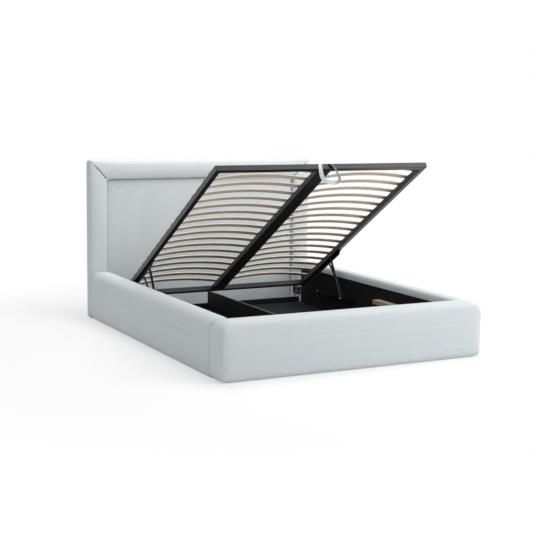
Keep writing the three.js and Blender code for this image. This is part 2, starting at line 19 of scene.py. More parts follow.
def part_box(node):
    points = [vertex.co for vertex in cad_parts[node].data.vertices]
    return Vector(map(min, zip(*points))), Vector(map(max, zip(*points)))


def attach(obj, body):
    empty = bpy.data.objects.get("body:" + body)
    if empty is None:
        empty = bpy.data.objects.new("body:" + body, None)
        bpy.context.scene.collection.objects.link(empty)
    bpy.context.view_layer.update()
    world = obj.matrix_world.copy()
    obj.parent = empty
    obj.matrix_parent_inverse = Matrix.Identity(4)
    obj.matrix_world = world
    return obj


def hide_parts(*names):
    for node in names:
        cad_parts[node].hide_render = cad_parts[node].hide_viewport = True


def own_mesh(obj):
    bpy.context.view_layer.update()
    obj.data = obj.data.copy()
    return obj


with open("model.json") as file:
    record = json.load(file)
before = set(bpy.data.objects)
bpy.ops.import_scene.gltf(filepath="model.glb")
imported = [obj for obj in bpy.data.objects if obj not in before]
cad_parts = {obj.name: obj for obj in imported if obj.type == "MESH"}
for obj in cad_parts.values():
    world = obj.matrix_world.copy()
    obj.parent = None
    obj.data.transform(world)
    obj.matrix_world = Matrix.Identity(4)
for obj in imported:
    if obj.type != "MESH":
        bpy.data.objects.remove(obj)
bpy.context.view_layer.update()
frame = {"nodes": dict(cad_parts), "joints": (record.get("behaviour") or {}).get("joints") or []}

bl_info = {
    "name": "Upholstered storage bed",
    "version": (1, 0, 0),
    "blender": (4, 5, 0),
    "location": "3D View > Sidebar > Storage bed",
    "description": "Padded covers, slats, strap, fasteners, finishes and studio of a storage bed",
    "category": "Object",
}


class BedFabric(PropertyGroup):
    """The woven cover of the headboard, rails and footboard."""

    colour: FloatVectorProperty(
        name="Cover colour",
        description="Colour of the woven cover",
        subtype="COLOR",
        size=4,
        min=0,
        max=1,
        default=(0.61, 0.66, 0.68, 1),
    )
    thread_pitch: FloatProperty(
        name="Thread pitch",
        description="Distance from one thread to the next",
        default=0.0022,
        min=0.0005,
        unit="LENGTH",
    )
    slub_size: FloatProperty(
        name="Slub size",
        description="Size of the thicker places in the yarn",
        default=0.009,
        min=0.001,
        unit="LENGTH",
    )
    relief: FloatProperty(
        name="Weave relief",
        description="How far the threads stand out",
        default=0.0007,
        min=0,
        unit="LENGTH",
    )


class BedPadding(PropertyGroup):
    """How the foam fills the covers."""

    draw_in: FloatProperty(
        name="Draw in",
        description="How far the cover starts inside the piece's full size",
        default=0.0015,
        min=0,
        unit="LENGTH",
    )
    swell: FloatProperty(
        name="Swell",
        description="How far the foam may push the cover out",
        default=0.0035,
        min=0.001,
        unit="LENGTH",
    )
    pressure: FloatProperty(
        name="Pressure",
        description="Push of the foam on the cover",
        default=4,
        min=0,
    )
    border_step: FloatProperty(
        name="Border mesh step",
        description="Mesh size of the headboard borders",
        default=0.008,
        min=0.004,
        unit="LENGTH",
    )
    rail_step: FloatProperty(
        name="Rail mesh step",
        description="Mesh size of the rails and the footboard",
        default=0.012,
        min=0.004,
        unit="LENGTH",
    )
    panel_step: FloatProperty(
        name="Panel mesh step",
        description="Mesh size of the headboard panel",
        default=0.014,
        min=0.004,
        unit="LENGTH",
    )
    border_smoothing: IntProperty(
        name="Border smoothing",
        description="How often the borders' covers are smoothed before they swell",
        default=2,
        min=0,
    )
    smoothing: IntProperty(
        name="Smoothing",
        description="How often the other covers are smoothed before they swell",
        default=5,
        min=0,
    )
    seam_run: FloatProperty(
        name="Seam run",
        description="How far from a seam the cover is drawn up to its neighbour",
        default=0.04,
        min=0.01,
        unit="LENGTH",
    )
    seam_overlap: FloatProperty(
        name="Seam overlap",
        description="How far each cover presses past a slanting seam",
        default=0.002,
        min=0,
        unit="LENGTH",
    )
    seam_fill: FloatProperty(
        name="Seam fill",
        description="How far the cover's front comes forward again along a slanting seam",
        default=0.004,
        min=0,
        unit="LENGTH",
    )
    frames: IntProperty(
        name="Settling frames",
        description="Frames in which the cover settles",
        default=20,
        min=2,
    )


class BedFrame(PropertyGroup):
    """The raised steel frame that carries the slats."""

    tilt: FloatProperty(
        name="Raised tilt",
        description="Slope of the raised frame",
        default=math.radians(32.34),
        unit="ROTATION",
    )
    head_y: FloatProperty(
        name="Head end",
        description="Where the frame's head end stands along the bed",
        default=0.8155,
        unit="LENGTH",
    )
    head_z: FloatProperty(
        name="Head height",
        description="Height of the frame's head end above the floor",
        default=0.169,
        unit="LENGTH",
    )
    width: FloatProperty(
        name="Frame width",
        description="Width over both side tubes",
        default=1.44,
        unit="LENGTH",
    )
    length: FloatProperty(
        name="Frame length",
        description="Length over the head and foot tubes",
        default=1.793,
        unit="LENGTH",
    )
    tube: FloatProperty(
        name="Tube size",
        description="Outer size of the square tube",
        default=0.034,
        unit="LENGTH",
    )


class BedSlats(PropertyGroup):
    """Bowed slats in moulded holders, two slats to a row."""

    rows: IntProperty(name="Rows", description="Rows of slats", default=18, min=1)
    first: FloatProperty(
        name="First row",
        description="From the frame's head end to the first row",
        default=0.093,
        unit="LENGTH",
    )
    pitch: FloatProperty(
        name="Row pitch",
        description="From one row to the next",
        default=1.59 / 17,
        unit="LENGTH",
    )
    width: FloatProperty(
        name="Slat width",
        description="Width of a slat",
        default=0.036,
        unit="LENGTH",
    )
    thickness: FloatProperty(
        name="Slat thickness",
        description="Thickness of a slat",
        default=0.007,
        unit="LENGTH",
    )
    crown: FloatProperty(
        name="Slat crown",
        description="Rise of a slat at its middle",
        default=0.03,
        unit="LENGTH",
    )
    seat: FloatProperty(
        name="Seat height",
        description="Height of the holders' underside over the frame's underside",
        default=0.0343,
        unit="LENGTH",
    )
    lift: FloatProperty(
        name="Slat lift",
        description="Height of the slats' ends over the holders' underside",
        default=0.006,
        unit="LENGTH",
    )
    holder_length: FloatProperty(
        name="Holder length",
        description="Length of an end holder",
        default=0.007,
        unit="LENGTH",
    )
    holder_inset: FloatProperty(
        name="Holder inset",
        description="From the frame's outer face in to an end holder",
        default=0.01,
        unit="LENGTH",
    )
    holder_height: FloatProperty(
        name="Holder height",
        description="Height of a holder",
        default=0.012,
        unit="LENGTH",
    )
    centre_holder: FloatProperty(
        name="Centre holder width",
        description="Width of the double holder over the centre rail",
        default=0.056,
        unit="LENGTH",
    )
    wood: FloatVectorProperty(
        name="Slat wood",
        description="Colour of the laminated slats",
        subtype="COLOR",
        size=4,
        min=0,
        max=1,
        default=(0.74, 0.63, 0.51, 1),
    )
    holder: FloatVectorProperty(
        name="Holder colour",
        description="Colour of the moulded holders",
        subtype="COLOR",
        size=4,
        min=0,
        max=1,
        default=(0.012, 0.012, 0.013, 1),
    )


class BedStrap(PropertyGroup):
    """The webbing loop that pulls the frame down."""

    width: FloatProperty(
        name="Strap width",
        description="Width of the webbing",
        default=0.026,
        unit="LENGTH",
    )
    thickness: FloatProperty(
        name="Strap thickness",
        description="Thickness of the webbing",
        default=0.002,
        unit="LENGTH",
    )
    colour: FloatVectorProperty(
        name="Strap colour",
        description="Colour of the webbing",
        subtype="COLOR",
        size=4,
        min=0,
        max=1,
        default=(0.66, 0.72, 0.74, 1),
    )


class BedFasteners(PropertyGroup):
    """Bolt heads and screws, and the planes they stand on."""

    bolt_radius: FloatProperty(
        name="Bolt head radius",
        description="Radius of the bright bolt heads",
        default=0.0062,
        unit="LENGTH",
    )
    bolt_height: FloatProperty(
        name="Bolt head height",
        description="Height of the bright bolt heads",
        default=0.0042,
        unit="LENGTH",
    )
    screw_radius: FloatProperty(
        name="Screw head radius",
        description="Radius of the black screw heads",
        default=0.0052,
        unit="LENGTH",
    )
    screw_height: FloatProperty(
        name="Screw head height",
        description="Height of the black screw heads",
        default=0.0034,
        unit="LENGTH",
    )
    screw_rise: FloatProperty(
        name="Screw rise",
        description="From the lower bracket's lower edge up to its screws",
        default=0.0105,
        unit="LENGTH",
    )
    corner_sheet: FloatProperty(
        name="Corner bracket sheet",
        description="Thickness of the corner brackets",
        default=0.004,
        unit="LENGTH",
    )
    lower_sheet: FloatProperty(
        name="Lower bracket sheet",
        description="Thickness of the lower brackets",
        default=0.004,
        unit="LENGTH",
    )
    flange_sheet: FloatProperty(
        name="Upper flange sheet",
        description="From the frame's underside to the underside of the upper brackets' flange",
        default=0.0033,
        unit="LENGTH",
    )
    flange_line: FloatProperty(
        name="Upper bolt line",
        description="From the bed's middle to the upper brackets' bolts",
        default=0.694,
        unit="LENGTH",
    )
    rear_head: FloatProperty(
        name="Rear pivot head",
        description="From the bed's middle to the inner face of the rear pivot's head",
        default=0.7027,
        unit="LENGTH",
    )
    front_head: FloatProperty(
        name="Front pivot head",
        description="From the bed's middle to the inner face of the front pivot's head",
        default=0.6787,
        unit="LENGTH",
    )


class BedFinishes(PropertyGroup):
    """Colours of the steel, the fasteners, the linings, the boards and the battens."""

    steel: FloatVectorProperty(
        name="Frame steel",
        description="Colour of the powder coat on the frame's tubes",
        subtype="COLOR",
        size=4,
        min=0,
        max=1,
        default=(0.0145, 0.0145, 0.0155, 1),
    )
    linkage: FloatVectorProperty(
        name="Linkage steel",
        description="Colour of the black coat on the brackets, links and struts",
        subtype="COLOR",
        size=4,
        min=0,
        max=1,
        default=(0.004, 0.004, 0.0045, 1),
    )
    rod: FloatVectorProperty(
        name="Strut rod",
        description="Colour of the dark ground rods",
        subtype="COLOR",
        size=4,
        min=0,
        max=1,
        default=(0.07, 0.072, 0.076, 1),
    )
    bolt: FloatVectorProperty(
        name="Bolt heads",
        description="Colour of the zinc bolt heads",
        subtype="COLOR",
        size=4,
        min=0,
        max=1,
        default=(0.5, 0.51, 0.52, 1),
    )
    lining: FloatVectorProperty(
        name="Lining",
        description="Colour of the black lining sheet",
        subtype="COLOR",
        size=4,
        min=0,
        max=1,
        default=(0.014, 0.014, 0.0145, 1),
    )
    board: FloatVectorProperty(
        name="Board",
        description="Colour of the black boards",
        subtype="COLOR",
        size=4,
        min=0,
        max=1,
        default=(0.014, 0.014, 0.0145, 1),
    )
    # The divider's top strip: the edge banding's colour, made paler with a painted highlight of the light
    # from above
    edge: FloatVectorProperty(
        name="Divider edge",
        description="Colour of the divider's edge strip",
        subtype="COLOR",
        size=4,
        min=0,
        max=1,
        default=(0.16, 0.165, 0.17, 1),
    )
    batten: FloatVectorProperty(
        name="Batten wood",
        description="Colour of the battens",
        subtype="COLOR",
        size=4,
        min=0,
        max=1,
        default=(0.42, 0.33, 0.23, 1),
    )


class BedStudio(PropertyGroup):
    """Camera, lamps and floor."""

    camera_place: FloatVectorProperty(
        name="Camera place",
        description="Where the camera stands",
        subtype="TRANSLATION",
        size=3,
        default=(-3.527, -6.6925, 1.515),
    )
    camera_turn: FloatProperty(
        name="Camera turn",
        description="How far the camera looks toward the right of the bed's length",
        default=math.radians(27.68),
        unit="ROTATION",
    )
    camera_dip: FloatProperty(
        name="Camera dip",
        description="How far the camera looks down",
        default=math.radians(8.06),
        unit="ROTATION",
    )
    camera_roll: FloatProperty(
        name="Camera roll",
        description="How far the camera is rolled",
        default=-0.0133,
        unit="ROTATION",
    )
    lens: FloatProperty(
        name="Lens",
        description="Focal length in millimetres on a 36 mm sensor",
        default=78.82,
    )
    sky: FloatProperty(
        name="Soft light",
        description="Strength of the light from all round",
        default=0.59,
        min=0,
    )
    key: FloatProperty(
        name="Key lamp",
        description="Power of the large lamp over the right front",
        default=140,
        min=0,
    )
    key_place: FloatVectorProperty(
        name="Key lamp place",
        description="Where the key lamp hangs",
        subtype="TRANSLATION",
        size=3,
        default=(3.2, -3.2, 3.0),
    )
    key_size: FloatProperty(
        name="Key lamp size",
        description="Diameter of the key lamp",
        default=4.5,
        unit="LENGTH",
    )
    key_aim: FloatVectorProperty(
        name="Key lamp aim",
        description="The place that the key lamp points at",
        subtype="TRANSLATION",
        size=3,
        default=(0, -0.2, 0.3),
    )
    top: FloatProperty(
        name="Overhead lamp",
        description="Power of the soft lamp that hangs over the bed",
        default=60,
        min=0,
    )
    top_place: FloatVectorProperty(
        name="Overhead lamp place",
        description="Where the overhead lamp hangs",
        subtype="TRANSLATION",
        size=3,
        default=(0.2, 0.3, 3.3),
    )
    top_size: FloatProperty(
        name="Overhead lamp size",
        description="Diameter of the overhead lamp",
        default=2.4,
        unit="LENGTH",
    )
    top_aim: FloatVectorProperty(
        name="Overhead lamp aim",
        description="The place that the overhead lamp points at",
        subtype="TRANSLATION",
        size=3,
        default=(0.1, 0.1, 0.3),
    )
    floor: FloatVectorProperty(
        name="Floor colour",
        description="Colour of the studio floor",
        subtype="COLOR",
        size=4,
        min=0,
        max=1,
        default=(0.92, 0.92, 0.92, 1),
    )
    floor_bounce: FloatVectorProperty(
        name="Floor bounce",
        description="Colour of the light that the floor sends back up",
        subtype="COLOR",
        size=4,
        min=0,
        max=1,
        default=(0.8, 0.8, 0.8, 1),
    )


# Finishes


# Grain sizes along X, Y and Z
COVER_DRIFT = (0.16, 0.16, 0.12)
GROUND_MARKS = (0.001, 0.012, 0.012)
FELT_FIBRES = (0.002, 0.005, 0.005)
SLAT_FIGURE = (0.6, 0.024, 0.024)
BATTEN_FIGURE = (0.02, 0.5, 0.02)
# Grain sizes that are the same every way
COAT_PEEL = 0.0018
COAT_DRIFT = 0.09
FOIL_PEARL = 0.0022
PLASTIC_TEXTURE = 0.001
# From one rib of the webbing to the next, and the height of the divider's paler top strip: its edge
# banding, made lighter with a painted highlight of the light from above
WEBBING_RIB = 0.0016
EDGE_AND_HIGHLIGHT_STRIP = 0.0012
# Where the floor starts to pass into the white background and where it has, from the bed's middle
FLOOR_FADE_START = 1.5
FLOOR_FADE_END = 2.9


def add_step(material, kind, **settings):
    """A node of the material with its settings and plain input values."""
    step = material.node_tree.nodes.new(kind)
    for name, value in settings.items():
        if hasattr(step, name):
            setattr(step, name, value)
        else:
            step.inputs[name.replace("_", " ")].default_value = value
    return step


def connect(material, output, target):
    material.node_tree.links.new(output, target)


def start_finish(name, colour, roughness, metallic=0.0, **constants):
    """A new finish, its shader and the place on the piece that its pattern follows."""
    material = bpy.data.materials.new(name)
    material.use_nodes = True
    shader = material.node_tree.nodes["Principled BSDF"]
    shader.inputs["Base Color"].default_value = colour
    shader.inputs["Roughness"].default_value = roughness
    shader.inputs["Metallic"].default_value = metallic
    for socket, value in constants.items():
        shader.inputs[socket.replace("_", " ")].default_value = value
    material.diffuse_color = colour
    place = add_step(material, "ShaderNodeTexCoord").outputs["Object"]
    return material, shader, place


def shade_of(colour, factor):
    return (colour[0] * factor, colour[1] * factor, colour[2] * factor, 1)


def stretched_noise(material, place, sizes, detail=2.0, roughness=0.5):
    """Noise whose grains have the given sizes along X, Y and Z."""
    mapping = add_step(material, "ShaderNodeMapping")
    mapping.inputs["Scale"].default_value = [1 / size for size in sizes]
    connect(material, place, mapping.inputs["Vector"])
    grain = add_step(material, "ShaderNodeTexNoise", Scale=1.0, Detail=detail, Roughness=roughness)
    connect(material, mapping.outputs["Vector"], grain.inputs["Vector"])
    return grain.outputs["Fac"]


def even_noise(material, place, size, detail=2.0):
    return stretched_noise(material, place, (size, size, size), detail)


def thread_waves(material, place, pitch):
    """Threads both ways on every face: the sum of a wave along each axis, from 0 to 1."""
    parts = add_step(material, "ShaderNodeSeparateXYZ")
    connect(material, place, parts.inputs["Vector"])
    total = None
    for axis in ("X", "Y", "Z"):
        turns = add_step(material, "ShaderNodeMath", operation="MULTIPLY")
        connect(material, parts.outputs[axis], turns.inputs[0])
        turns.inputs[1].default_value = 2 * math.pi / pitch
        wave = add_step(material, "ShaderNodeMath", operation="SINE")
        connect(material, turns.outputs[0], wave.inputs[0])
        if total is None:
            total = wave.outputs[0]
        else:
            both = add_step(material, "ShaderNodeMath", operation="ADD")
            connect(material, total, both.inputs[0])
            connect(material, wave.outputs[0], both.inputs[1])
            total = both.outputs[0]
    level = add_step(material, "ShaderNodeMapRange")
    level.inputs["From Min"].default_value = -3
    level.inputs["From Max"].default_value = 3
    connect(material, total, level.inputs["Value"])
    return level.outputs["Result"]


def shades(material, amount, colour, dark, light, low=0.3, high=0.7):
    """The colour, from its dark share to its light share as the amount goes from low to high."""
    ramp = add_step(material, "ShaderNodeValToRGB")
    ramp.color_ramp.elements[0].position = low
    ramp.color_ramp.elements[0].color = shade_of(colour, dark)
    ramp.color_ramp.elements[1].position = high
    ramp.color_ramp.elements[1].color = shade_of(colour, light)
    connect(material, amount, ramp.inputs["Fac"])
    return ramp.outputs["Color"]


def blended(material, first, second, share):
    mix = add_step(material, "ShaderNodeMix", data_type="RGBA")
    mix.inputs[0].default_value = share
    connect(material, first, mix.inputs[6])
    connect(material, second, mix.inputs[7])
    return mix.outputs[2]


def weighed_sum(material, first, second, share):
    """The first amount plus a share of the second."""
    total = add_step(material, "ShaderNodeMath", operation="MULTIPLY_ADD")
    connect(material, second, total.inputs[0])
    total.inputs[1].default_value = share
    connect(material, first, total.inputs[2])
    return total.outputs[0]


def vary_roughness(material, shader, amount, low, high):
    """Gloss that changes from place to place, as the roughness goes from low to high."""
    rough = add_step(material, "ShaderNodeMapRange")
    rough.inputs["To Min"].default_value = low
    rough.inputs["To Max"].default_value = high
    connect(material, amount, rough.inputs["Value"])
    connect(material, rough.outputs["Result"], shader.inputs["Roughness"])


def raise_relief(material, shader, height, distance, strength):
    relief = add_step(material, "ShaderNodeBump", Strength=strength, Distance=distance)
    connect(material, height, relief.inputs["Height"])
    connect(material, relief.outputs["Normal"], shader.inputs["Normal"])


def kept(make):
    """The finish that the function makes, made on its first use and named after it."""
    return bpy.data.materials.get(make.__name__) or make(make.__name__)


def woven_cover(name):
    """Flat woven cover: fine threads both ways, slubs in the yarn and a soft drift of shade."""
    fabric = bpy.context.scene.bed_fabric
    colour = fabric.colour
    material, shader, place = start_finish(
        name, colour, 0.92, Sheen_Weight=0.25, Sheen_Roughness=0.5, Specular_IOR_Level=0.25
    )
    threads = thread_waves(material, place, fabric.thread_pitch)
    slub = fabric.slub_size
    slubs = stretched_noise(material, place, (slub, slub, slub * 0.6), detail=3.0, roughness=0.65)
    drift = stretched_noise(material, place, COVER_DRIFT)
    yarn = shades(material, slubs, colour, 0.9, 1.09)
    broad = shades(material, drift, colour, 0.965, 1.03)
    weave = shades(material, threads, colour, 0.86, 1.08, low=0.2, high=0.75)
    cloth = blended(material, yarn, broad, 0.4)
    cloth = blended(material, cloth, weave, 0.3)
    connect(material, cloth, shader.inputs["Base Color"])
    height = weighed_sum(material, slubs, threads, 0.6)
    raise_relief(material, shader, height, fabric.relief, strength=0.8)
    return material


def ribbed_webbing(name):
    """Ribbed webbing of the pull strap."""
    colour = bpy.context.scene.bed_strap.colour
    material, shader, place = start_finish(name, colour, 0.85, Specular_IOR_Level=0.3)
    ribs = thread_waves(material, place, WEBBING_RIB)
    connect(material, shades(material, ribs, colour, 0.82, 1.06), shader.inputs["Base Color"])
    raise_relief(material, shader, ribs, distance=0.0004, strength=0.8)
    return material


def coated_steel(name, colour, roughness, specular):
    """Powder coat with a fine orange peel and a faint drift of gloss."""
    material, shader, place = start_finish(name, colour, roughness, Specular_IOR_Level=specular)
    peel = even_noise(material, place, COAT_PEEL)
    cloudy = even_noise(material, place, COAT_DRIFT, detail=3.0)
    connect(material, shades(material, cloudy, colour, 0.85, 1.2), shader.inputs["Base Color"])
    vary_roughness(material, shader, cloudy, roughness - 0.05, roughness + 0.07)
    raise_relief(material, shader, peel, distance=0.00012, strength=0.5)
    return material


def frame_steel(name):
    return coated_steel(name, bpy.context.scene.bed_finishes.steel, 0.36, 0.5)


def linkage_steel(name):
    return coated_steel(name, bpy.context.scene.bed_finishes.linkage, 0.5, 0.16)


def ground_metal(name, colour, rough_low, rough_high):
    """Bare metal with fine marks across its length."""
    material, shader, place = start_finish(name, colour, rough_low, 1.0)
    marks = stretched_noise(material, place, GROUND_MARKS)
    vary_roughness(material, shader, marks, rough_low, rough_high)
    raise_relief(material, shader, marks, distance=0.00005, strength=0.4)
    return material


def ground_rod(name):
    return ground_metal(name, bpy.context.scene.bed_finishes.rod, 0.4, 0.55)


def bolt_zinc(name):
    return ground_metal(name, bpy.context.scene.bed_finishes.bolt, 0.34, 0.48)


def felt_lining(name):
    """Pressed felt sheet on the inner faces."""
    colour = bpy.context.scene.bed_finishes.lining
    material, shader, place = start_finish(name, colour, 0.95, Specular_IOR_Level=0.08)
    fibres = stretched_noise(material, place, FELT_FIBRES, detail=4.0, roughness=0.7)
    connect(material, shades(material, fibres, colour, 0.6, 1.6), shader.inputs["Base Color"])
    raise_relief(material, shader, fibres, distance=0.0005, strength=0.6)
    return material


def pearl_board(name):
    """Fine pearl-grained foil on board."""
    colour = bpy.context.scene.bed_finishes.board
    material, shader, place = start_finish(name, colour, 0.62, Specular_IOR_Level=0.14)
    pearl = even_noise(material, place, FOIL_PEARL)
    connect(material, shades(material, pearl, colour, 0.75, 1.35), shader.inputs["Base Color"])
    raise_relief(material, shader, pearl, distance=0.0002, strength=0.5)
    return material


def divider_board(name):
    """The board's foil with a paler strip along its top: its edge banding, made lighter with a painted
    highlight of the light from above.
    """
    finishes = bpy.context.scene.bed_finishes
    material, shader, place = start_finish(name, finishes.board, 0.6, Specular_IOR_Level=0.14)
    pearl = even_noise(material, place, FOIL_PEARL)
    foil = shades(material, pearl, finishes.board, 0.75, 1.35)
    # Paler top face and top of the sides: edge banding, with a painted highlight of the light from above
    edge = shades(material, pearl, finishes.edge, 0.92, 1.08)
    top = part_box("centre_divider")[1].z
    parts = add_step(material, "ShaderNodeSeparateXYZ")
    connect(material, place, parts.inputs["Vector"])
    over = add_step(material, "ShaderNodeMath", operation="GREATER_THAN")
    connect(material, parts.outputs["Z"], over.inputs[0])
    over.inputs[1].default_value = top - EDGE_AND_HIGHLIGHT_STRIP
    mix = add_step(material, "ShaderNodeMix", data_type="RGBA")
    connect(material, over.outputs[0], mix.inputs[0])
    connect(material, foil, mix.inputs[6])
    connect(material, edge, mix.inputs[7])
    connect(material, mix.outputs[2], shader.inputs["Base Color"])
    raise_relief(material, shader, pearl, distance=0.0002, strength=0.5)
    return material


def grained_wood(name, colour, figure_sizes, roughness):
    """Pale wood with a broad figure of the given sizes, and finer pores that run the same way."""
    material, shader, place = start_finish(name, colour, roughness, Specular_IOR_Level=0.35)
    longest = max(figure_sizes)
    pore_sizes = [size * (0.02 if size == longest else 0.25) for size in figure_sizes]
    pores = stretched_noise(material, place, pore_sizes, detail=3.0, roughness=0.6)
    figure = stretched_noise(material, place, figure_sizes)
    broad = shades(material, figure, colour, 0.86, 1.12, low=0.35, high=0.65)
    fine = shades(material, pores, colour, 0.8, 1.1, low=0.3, high=0.6)
    connect(material, blended(material, broad, fine, 0.4), shader.inputs["Base Color"])
    raise_relief(material, shader, pores, distance=0.0002, strength=0.4)
    return material


def laminated_slat(name):
    return grained_wood(name, bpy.context.scene.bed_slats.wood, SLAT_FIGURE, 0.5)


def sawn_batten(name):
    return grained_wood(name, bpy.context.scene.bed_finishes.batten, BATTEN_FIGURE, 0.65)


def slat_holder(name):
    """Moulded plastic with a fine texture."""
    colour = bpy.context.scene.bed_slats.holder
    material, shader, place = start_finish(name, colour, 0.5)
    texture = even_noise(material, place, PLASTIC_TEXTURE)
    connect(material, shades(material, texture, colour, 0.8, 1.25), shader.inputs["Base Color"])
    raise_relief(material, shader, texture, distance=0.0001, strength=0.4)
    return material


# Shapes


# Doubled corners of a CAD mesh are merged within this distance
MERGE_DISTANCE = 0.00005
# A cover is held within this many mesh steps of what it is fixed to
HELD_STEPS = 1.1
# The swelling cover's quality and stiffness as cloth
CLOTH_QUALITY = 4
CLOTH_STIFFNESS = 2
# The free swell, in allowed swells, at which the cover's own starts to level off
SWELL_EASE = 1.6
# A vertex that settles less than this far away counts as still
STILL = 1e-7
# The side of the square studio floor, and how far it lies below the bed's feet
FLOOR_SIZE = 80
FLOOR_DROP = 0.0005


def placed_piece(name, shape, finishes, body, smooth=True):
    """Makes a piece of the finished shape, which then rides on its body."""
    mesh = bpy.data.meshes.new(name)
    shape.to_mesh(mesh)
    shape.free()
    for finish in finishes:
        mesh.materials.append(finish)
    for face in mesh.polygons:
        face.use_smooth = smooth
    piece = bpy.data.objects.new(name, mesh)
    bpy.context.scene.collection.objects.link(piece)
    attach(piece, body)
    return piece


def onto_raised_frame():
    """The move from the level frame, head end at zero, to its raised place."""
    raised = bpy.context.scene.bed_frame
    place = Matrix.Translation((0, raised.head_y, raised.head_z))
    return place @ Matrix.Rotation(-raised.tilt, 4, "X")


def settle_modifiers(piece):
    """Leaves what the modifiers show as the piece's own mesh, and takes the modifiers off."""
    graph = bpy.context.evaluated_depsgraph_get()
    shown = bpy.data.meshes.new_from_object(piece.evaluated_get(graph))
    piece.modifiers.clear()
    old = piece.data
    piece.data = shown
    bpy.data.meshes.remove(old)


def starting_cover(node, name, step):
    """The node's solid drawn in a little from its full size, with an even, smoothed mesh."""
    padding = bpy.context.scene.bed_padding
    low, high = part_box(node)
    shape = bmesh.new()
    shape.from_mesh(frame["nodes"][node].data)
    bmesh.ops.remove_doubles(shape, verts=shape.verts, dist=MERGE_DISTANCE)
    size = high - low
    shares = [(size.x - 2 * padding.draw_in) / size.x, (size.y - 2 * padding.draw_in) / size.y,
              (size.z - padding.draw_in) / size.z]
    foot = Vector(((low.x + high.x) / 2, (low.y + high.y) / 2, low.z))
    place = Matrix.Translation(foot) @ Matrix.Diagonal((*shares, 1)) @ Matrix.Translation(-foot)
    bmesh.ops.transform(shape, matrix=place, verts=shape.verts)
    mesh = bpy.data.meshes.new(name)
    shape.to_mesh(mesh)
    shape.free()
    mesh.materials.clear()
    cover = bpy.data.objects.new(name, mesh)
    bpy.context.scene.collection.objects.link(cover)
    even = cover.modifiers.new("even mesh", "REMESH")
    even.mode = "VOXEL"
    even.voxel_size = step
    even.use_smooth_shade = True
    bpy.context.view_layer.update()
    settle_modifiers(cover)
    shape = bmesh.new()
    shape.from_mesh(cover.data)
    rounds = padding.border_smoothing if step == padding.border_step else padding.smoothing
    for _ in range(rounds):
        bmesh.ops.smooth_vert(shape, verts=shape.verts, factor=0.5, use_axis_x=True, use_axis_y=True,
                              use_axis_z=True)
    shape.to_mesh(cover.data)
    shape.free()
    return cover


def swell_cover(cover, fixed):
    """Foam pushes the cover out between the places where it is fixed."""
    padding = bpy.context.scene.bed_padding
    scene = bpy.context.scene
    held = cover.vertex_groups.new(name="held")
    held.add([v.index for v in cover.data.vertices if fixed(v.co)], 1.0, "REPLACE")
    stuffing = cover.modifiers.new("stuffing", "CLOTH")
    settings = stuffing.settings
    settings.quality = CLOTH_QUALITY
    settings.use_pressure = True
    settings.uniform_pressure_force = padding.pressure
    settings.effector_weights.gravity = 0
    settings.vertex_group_mass = "held"
    settings.bending_stiffness = CLOTH_STIFFNESS
    stuffing.collision_settings.use_collision = False
    stuffing.point_cache.frame_start = 1
    stuffing.point_cache.frame_end = padding.frames
    for number in range(1, padding.frames + 1):
        scene.frame_set(number)
    graph = bpy.context.evaluated_depsgraph_get()
    settled = [v.co.copy() for v in cover.evaluated_get(graph).data.vertices]
    cover.modifiers.remove(stuffing)
    cover.vertex_groups.remove(held)
    for vertex, place in zip(cover.data.vertices, settled):
        move = place - vertex.co
        if move.length > STILL:
            reach = padding.swell * math.tanh(move.length / (SWELL_EASE * padding.swell))
            vertex.co += move.normalized() * reach
    scene.frame_set(1)


def keep_within(cover, low, high):
    """Presses the cover flat against what it meets."""
    for vertex in cover.data.vertices:
        for axis in range(3):
            vertex.co[axis] = min(max(vertex.co[axis], low[axis]), high[axis])


def meet_neighbours(cover, low, high, open_sides, seam):
    """Draws the cover's closed sides, and the side along a slanting seam, out to full size again."""
    padding = bpy.context.scene.bed_padding
    run = padding.seam_run
    vertices = cover.data.vertices
    for axis in range(3):
        places = [vertex.co[axis] for vertex in vertices]
        least, most = min(places), max(places)
        for vertex in vertices:
            below = max(0, 1 - (vertex.co[axis] - least) / run) * (not open_sides[0][axis])
            above = max(0, 1 - (most - vertex.co[axis]) / run) * (not open_sides[1][axis])
            vertex.co[axis] += (low[axis] - least) * below + (high[axis] - most) * above
    if seam:
        inside = [seam(vertex.co)[0] for vertex in vertices]
        least = min(inside)
        reach = least + padding.seam_overlap
        front = min(vertex.co.y for vertex in vertices)
        for vertex, distance in zip(vertices, inside):
            from_seam = (distance - least) / run
            from_front = (vertex.co.y - front) / run
            vertex.co += seam(vertex.co)[1] * reach * max(0, 1 - from_seam)
            vertex.co.y -= padding.seam_fill * max(0, 1 - 2 * from_seam) * max(0, 1 - from_front)


def padded_piece(node, name, step, fixed, open_sides, seam=None):
    """A padded piece that stands for the node. Its open sides may swell past the node's box.

    The open sides are the low ends of X, Y and Z, then the high ends, with a 1 where one is open.
    The seam gives a place's distance inside a slanting joint, and the way to the joint.
    """
    padding = bpy.context.scene.bed_padding
    cover = starting_cover(node, name, step)
    swell_cover(cover, fixed)
    low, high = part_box(node)
    meet_neighbours(cover, low, high, open_sides, seam)
    low -= Vector(open_sides[0]) * padding.swell
    high += Vector(open_sides[1]) * padding.swell
    keep_within(cover, low, high)
    cover.data.materials.append(kept(woven_cover))
    for face in cover.data.polygons:
        face.use_smooth = True
    finer = cover.modifiers.new("finer mesh", "SUBSURF")
    finer.levels = 1
    finer.render_levels = 1
    bpy.context.view_layer.update()
    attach(cover, "base")
    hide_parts(node)
    return cover


